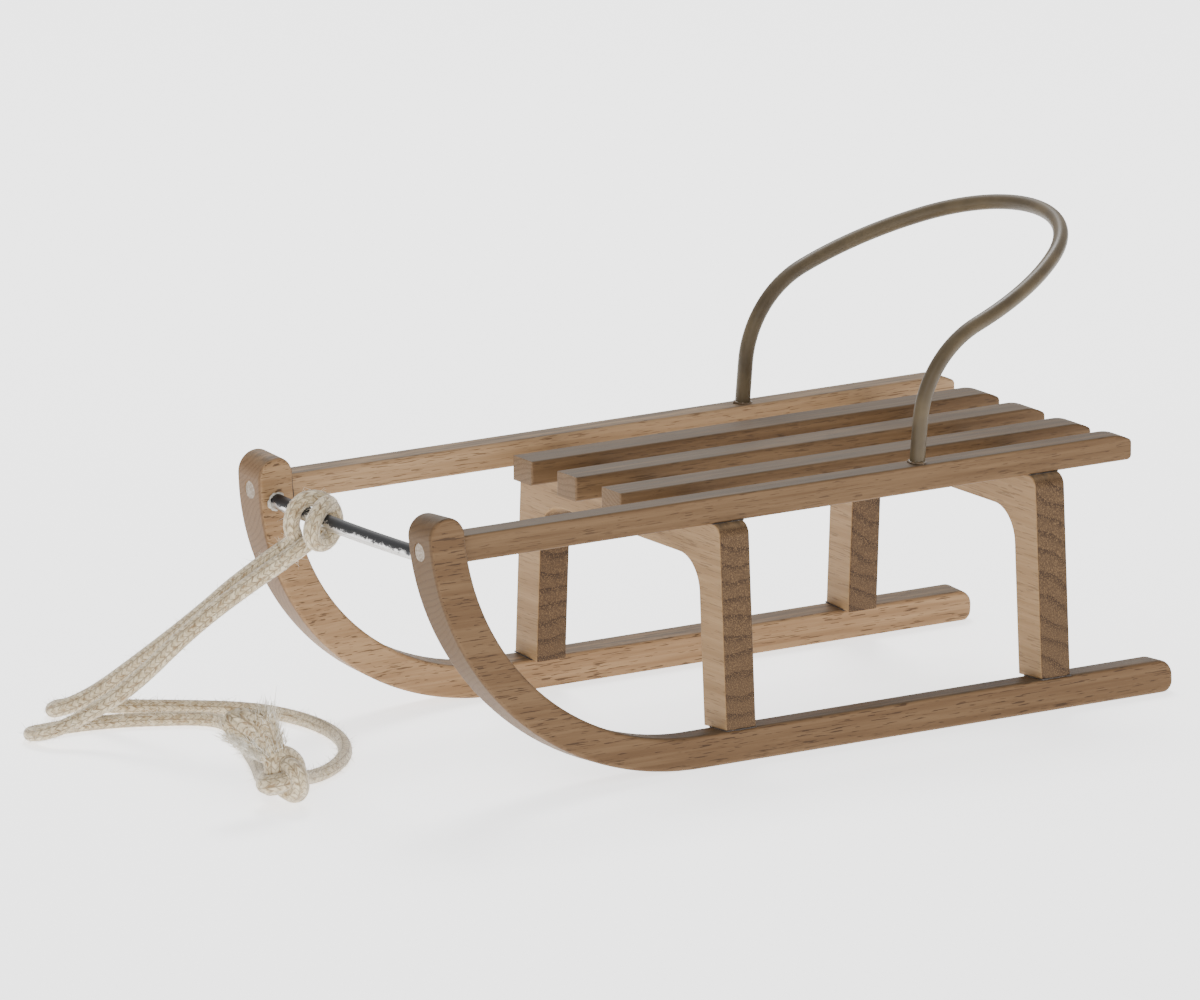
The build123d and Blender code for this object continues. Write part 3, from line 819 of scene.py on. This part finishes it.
# Wisps: roots spread through both locks, ways that lean outwards, and a random droop.
wisp_count = 1400
spread = dice.uniform(-1.0, 1.0, wisp_count)[:, None]
depth = dice.uniform(-1.0, 1.0, wisp_count)[:, None]
rise = dice.uniform(0.2, 0.95, wisp_count)[:, None]
half_here = (2.2 + 3.6 * rise) * mm
wisp_roots = (
    tuft_root
    + tuft_way * rise * 10 * mm
    + tuft_wide * (spread * half_here + 1.8 * rise * mm)
    + tuft_deep * depth * 1.8 * mm
)
wisp_ways = (
    tuft_way * dice.uniform(0.8, 3.4, wisp_count)[:, None] * mm
    + tuft_wide * (spread * 1.2 + dice.normal(0.0, 0.5, (wisp_count, 1))) * mm
    + tuft_deep * dice.normal(0.0, 0.9, (wisp_count, 1)) * mm
)
wisp_droops = dice.normal(0.0, 0.55, (wisp_count, 3)) * mm
wisp_thickness = dice.uniform(0.10, 0.20, wisp_count) * mm
wisp_mesh = fibre_mesh("frayed_wisps", wisp_roots, wisp_ways, wisp_droops, wisp_thickness)
add_piece("frayed_wisps", wisp_mesh, fuzz_cotton)
print("wisps", wisp_count, "faces", len(wisp_mesh.polygons))

# %% [markdown]
# ## Glue round the wire
# Where wire goes into wood, glue has been squeezed out and has set as an uneven ring, brown round the hoop's
# feet and white round the pull bar's ends. A plain torus would look like a washer. So each ring is worked out
# as a torus whose thickness wanders round the wire.

# %% Glue rings


def glue_material(name, colour, roughness):
    """Set glue: glossy, with small pale bubbles and dust in it."""
    material, tree, shader = surface(name)
    place = wire(tree, "ShaderNodeTexCoord").outputs["Object"]
    bubbles = noise(tree, place, scale=2200.0, detail=3.0, roughness=0.7)
    paler = tuple(min(1.0, 2.2 * part + 0.1) for part in colour[:3]) + (1.0,)
    mixed = blend_colour(tree, ramp(tree, bubbles, 0.55, 0.7), colour, paler)
    tree.links.new(mixed, shader.inputs["Base Color"])
    roughen(tree, shader, bubbles, 0.5, 0.08 * mm)
    shader.inputs["Roughness"].default_value = roughness
    return material


def glue_ring(name, centre, axis, material, seed):
    """Torus round a wire: ring radius 1.55 mm, section radius 0.32 mm * (1 + wander(a)), lower by a fifth.

    The angle a runs round the wire and b round the section. The section turns against the axis, which
    makes the faces look outwards.
    """
    axis = np.asarray(axis) / np.linalg.norm(axis)
    side = np.cross(axis, (0.3, 0.2, 0.9))
    side /= np.linalg.norm(side)
    top = np.cross(axis, side)
    a = np.linspace(0.0, 2 * np.pi, 64, endpoint=False)[:, None]
    b = np.linspace(0.0, 2 * np.pi, 16, endpoint=False)[None, :]
    wander = 0.35 * np.sin(2 * a + seed) + 0.25 * np.sin(5 * a + 2 * seed) + 0.15 * np.sin(11 * a)
    section = 0.32 * mm * (1.0 + wander)
    reach = 1.55 * mm + section * np.cos(b)
    rise = -section * 0.8 * np.sin(b)
    outward = np.cos(a)[..., None] * side + np.sin(a)[..., None] * top
    place = reach[..., None] * outward + rise[..., None] * axis
    mesh = grid_mesh(name, np.asarray(centre) + place, ends_meet=True)
    return add_piece(name, mesh, material)


hoop_glue = glue_material("brown_glue", rgba(0.11, 0.07, 0.035), 0.2)
bar_glue = glue_material("white_glue", rgba(0.42, 0.39, 0.34), 0.3)
for glue_side, y_way in (("left", 1.0), ("right", -1.0)):
    foot = (-29.2 * mm, 30.73 * mm * y_way, 51.8 * mm)
    glue_ring(f"hoop_glue_{glue_side}", foot, (-0.09, 0.0, 1.0), hoop_glue, 1.0 + y_way)
    bar_end = (80.95 * mm, 26.75 * mm * y_way, 47.125 * mm)
    glue_ring(f"bar_glue_{glue_side}", bar_end, (0.0, 1.0, 0.0), bar_glue, 2.0 + y_way)

# %% [markdown]
# ## Glue seams and painted joint shade
# A near-black bead runs round every foot, under every bar and where the rails meet the horns. It is glue, and
# painted shade that stands in for the shadow line in each joint. It could be painted on the wood, but it
# stands a little proud there. So it is a hair-thin tube carried round the corners of each joint, half sunk
# in the wood.

# %% Glue seams and painted joint shade
leg_lean = np.radians(3.5)
leg_width, half_thickness = 6.2, 3.4
runner_top, seat_base, rail_top = 6.5, 46.5, 51.75
horn_x_low, horn_x_high = 76.1, 76.75
trestle_places = (16.2, -57.1)
seam_corners = []
for y_way in (1.0, -1.0):
    for trestle_x in trestle_places:
        foot_out = (37.95 * y_way, runner_top)
        foot_in = ((37.9 - leg_width * np.cos(leg_lean)) * y_way, runner_top - leg_width * np.sin(leg_lean))
        front, rear = trestle_x + half_thickness, trestle_x - half_thickness
        seam_corners.append([(front, *foot_out), (front, *foot_in), (rear, *foot_in), (rear, *foot_out)])
    near, far = 28.13 * y_way, 33.33 * y_way
    low, high = (horn_x_low, seat_base), (horn_x_high, rail_top)
    outline = ((low, near), (low, far), (high, far), (high, near))
    seam_corners.append([(x, y, z) for (x, z), y in outline])
for bar_y, half_bar in ((-30.73, 2.6), (-15.75, 3.5), (0.0, 3.5), (15.75, 3.5), (30.73, 2.6)):
    for trestle_x in trestle_places:
        front, rear = trestle_x + half_thickness, trestle_x - half_thickness
        near, far = bar_y - half_bar, bar_y + half_bar
        outline = ((front, near), (front, far), (rear, far), (rear, near))
        seam_corners.append([(*corner, seat_base) for corner in outline])


def seam_rings(corners, seed):
    """Tube round a closed outline: radius 0.13 mm * (1 + 0.3 * (quick sine + slow sine along it))."""
    outline = np.array(corners + corners[:1]) * mm
    path, _ = even_path(outline, 0.4 * mm)
    wander = np.sin(np.arange(len(path)) * 0.9 + seed) + np.sin(np.arange(len(path)) * 0.37 + 2 * seed)
    return carry_tube(path, 0.13 * mm * (1.0 + 0.3 * wander), around=8)


# Near black: glue, and the painted shade of the shadow line in each joint.
glue_and_joint_shade = glue_material("glue_and_joint_shade", rgba(0.022, 0.013, 0.007), 0.35)
for count, corners in enumerate(seam_corners):
    seam_mesh = grid_mesh(f"glue_and_shade_seam_{count}", seam_rings(corners, 1.7 * count))
    add_piece(f"glue_and_shade_seam_{count}", seam_mesh, glue_and_joint_shade)
print("glue seams", len(seam_corners))

# %% [markdown]

# %% [markdown]
# ## Floor and light
# A pale floor that runs on without an edge and glows a little, a bright surround, and two large soft lights,
# as in a small product studio: a window high behind the sledge and a weaker light low at its front left. A
# small lamp would draw hard shadows; large ones keep them faint and soft.

# %% Floor and lights
floor_glow, surround_strength = 1.8, 0.9
bpy.ops.mesh.primitive_plane_add(size=6.0, location=(0.0, 0.0, 0.0))
floor = bpy.context.object
floor.name = "floor"
floor_material, _, floor_shader = surface("pale_floor")
floor_shader.inputs["Base Color"].default_value = rgba(0.93, 0.93, 0.93)
floor_shader.inputs["Roughness"].default_value = 0.6
floor_shader.inputs["Emission Color"].default_value = rgba(1.0, 1.0, 1.0)
floor_shader.inputs["Emission Strength"].default_value = floor_glow
floor.data.materials.append(floor_material)
floor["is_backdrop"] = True

world = bpy.data.worlds.new("studio")
bpy.context.scene.world = world
world.use_nodes = True
surround = next(node for node in world.node_tree.nodes if node.type == "BACKGROUND")
surround.inputs["Color"].default_value = rgba(1.0, 1.0, 1.0)
surround.inputs["Strength"].default_value = surround_strength


def soft_light(name, place, size, power):
    """Square area light at a place, looking at the sledge."""
    data = bpy.data.lights.new(name, "AREA")
    data.size = size
    data.energy = power
    light = bpy.data.objects.new(name, data)
    bpy.context.scene.collection.objects.link(light)
    light.matrix_world = Matrix.Translation(place) @ (
        (Vector((0.0, 0.0, 0.03)) - Vector(place)).to_track_quat("-Z", "Y").to_matrix().to_4x4()
    )
    return light


soft_light("window_behind", (-0.30, -0.55, 0.85), 0.35, 8.0)
soft_light("left_side", (0.7, 0.8, 0.45), 0.5, 2.0)

# %% [markdown]
# ## Sizes
# The finished model must fill the same box as the ready-made parts. Both boxes are written down, to compare.

# %% Boxes and finish
boxes = {"cad": cad_box, "visual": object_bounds()}
for name, box in boxes.items():
    print(name, "box", [[round(float(v), 4) for v in corner] for corner in box])
